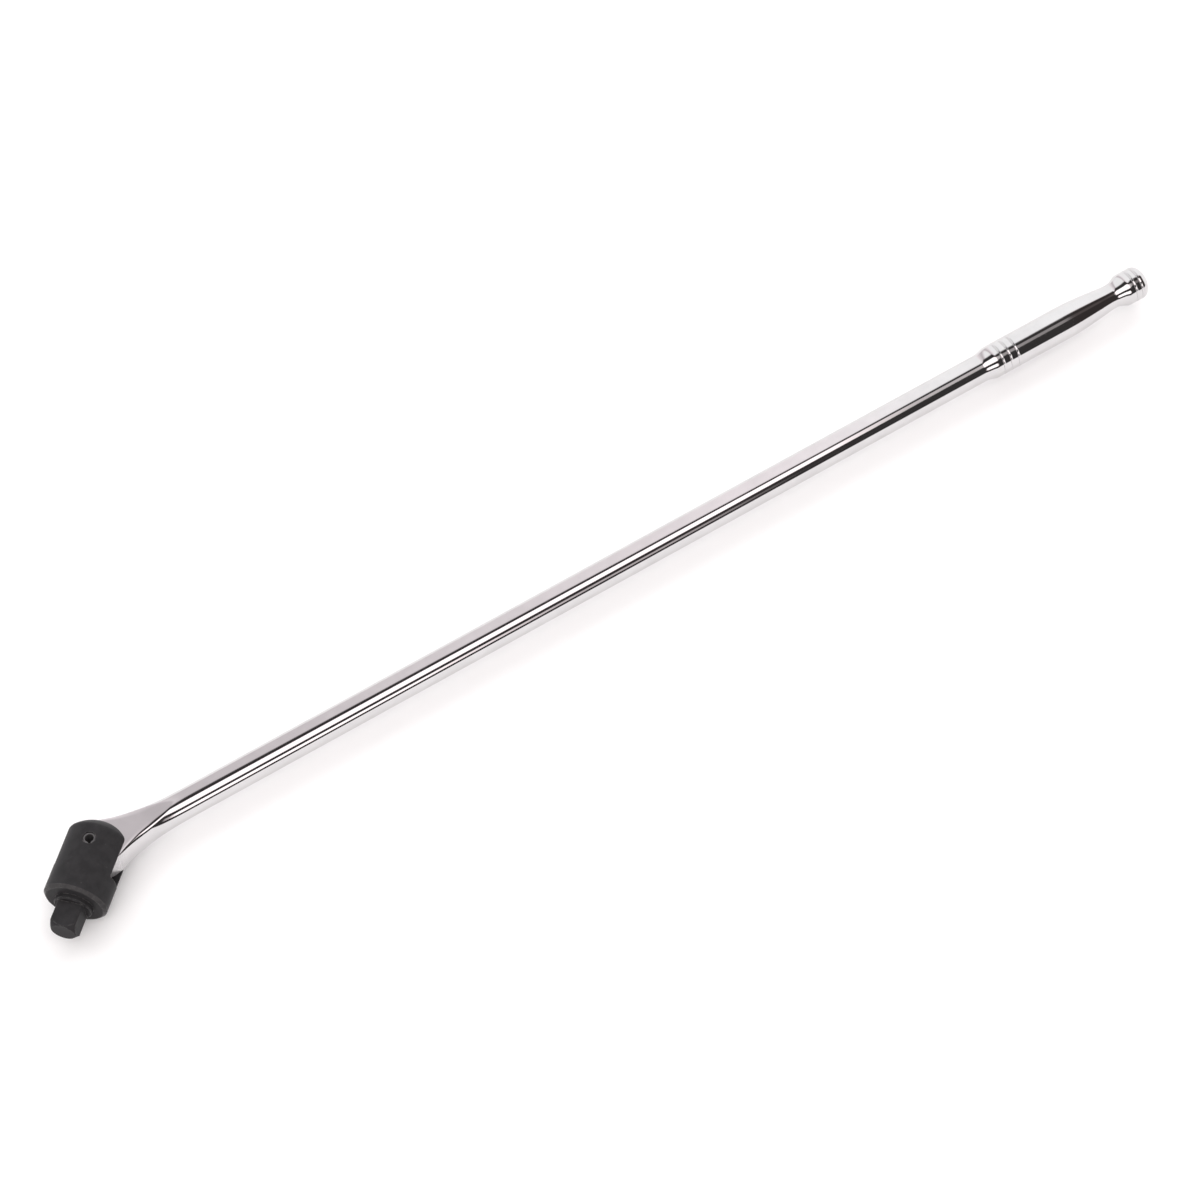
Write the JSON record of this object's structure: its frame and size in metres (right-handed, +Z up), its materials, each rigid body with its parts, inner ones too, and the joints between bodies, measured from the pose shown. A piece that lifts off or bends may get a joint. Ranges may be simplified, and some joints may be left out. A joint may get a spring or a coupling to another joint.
{
  "type": "breaker bar",
  "caption": "Long chromed breaker bar with a flexing black clevis head on a hinge pin, a square drive with a sprung socket ball, and a grooved barrelled grip with a knob end.",
  "frame": {"origin": "centre of the footprint, on the surface the bar lies on, with the head swung as stored", "axes": "+X along the handle towards the knob, +Z up along the hinge pin, so the head swings in the horizontal plane"},
  "size_m": [0.9818, 0.0742, 0.0478],
  "materials": {
    "handle_chrome": "mirror-bright chrome plate",
    "head_black": "matte black phosphate over forged steel",
    "pin_steel": "dull oiled spring steel",
    "ball_steel": "polished bearing steel",
    "spring_steel": "plain drawn wire"
  },
  "bodies": {
    "handle": {"handle_bar": "handle_chrome"},
    "head": {"drive_head": "head_black", "hinge_pin": "pin_steel", "friction_ball": "ball_steel", "friction_spring": "spring_steel", "detent_spring": "spring_steel"},
    "socket_ball": {"detent_ball": "ball_steel"}
  },
  "joints": [
    {"name": "head_swing", "type": "hinge", "parent": "handle", "child": "head", "pos_m": [-0.4364, 0.0138, 0.0239], "axis": [0, 0, 1], "range_deg": [-137.4, 52.6]},
    {"name": "socket_ball_press", "type": "slide", "parent": "head", "child": "socket_ball", "axis": [0, 0, 1], "range_m": [0, 0.0012], "stiffness_N_per_m": 1500, "springref_m": -0.002, "deforming": ["detent_spring"]}
  ]
}
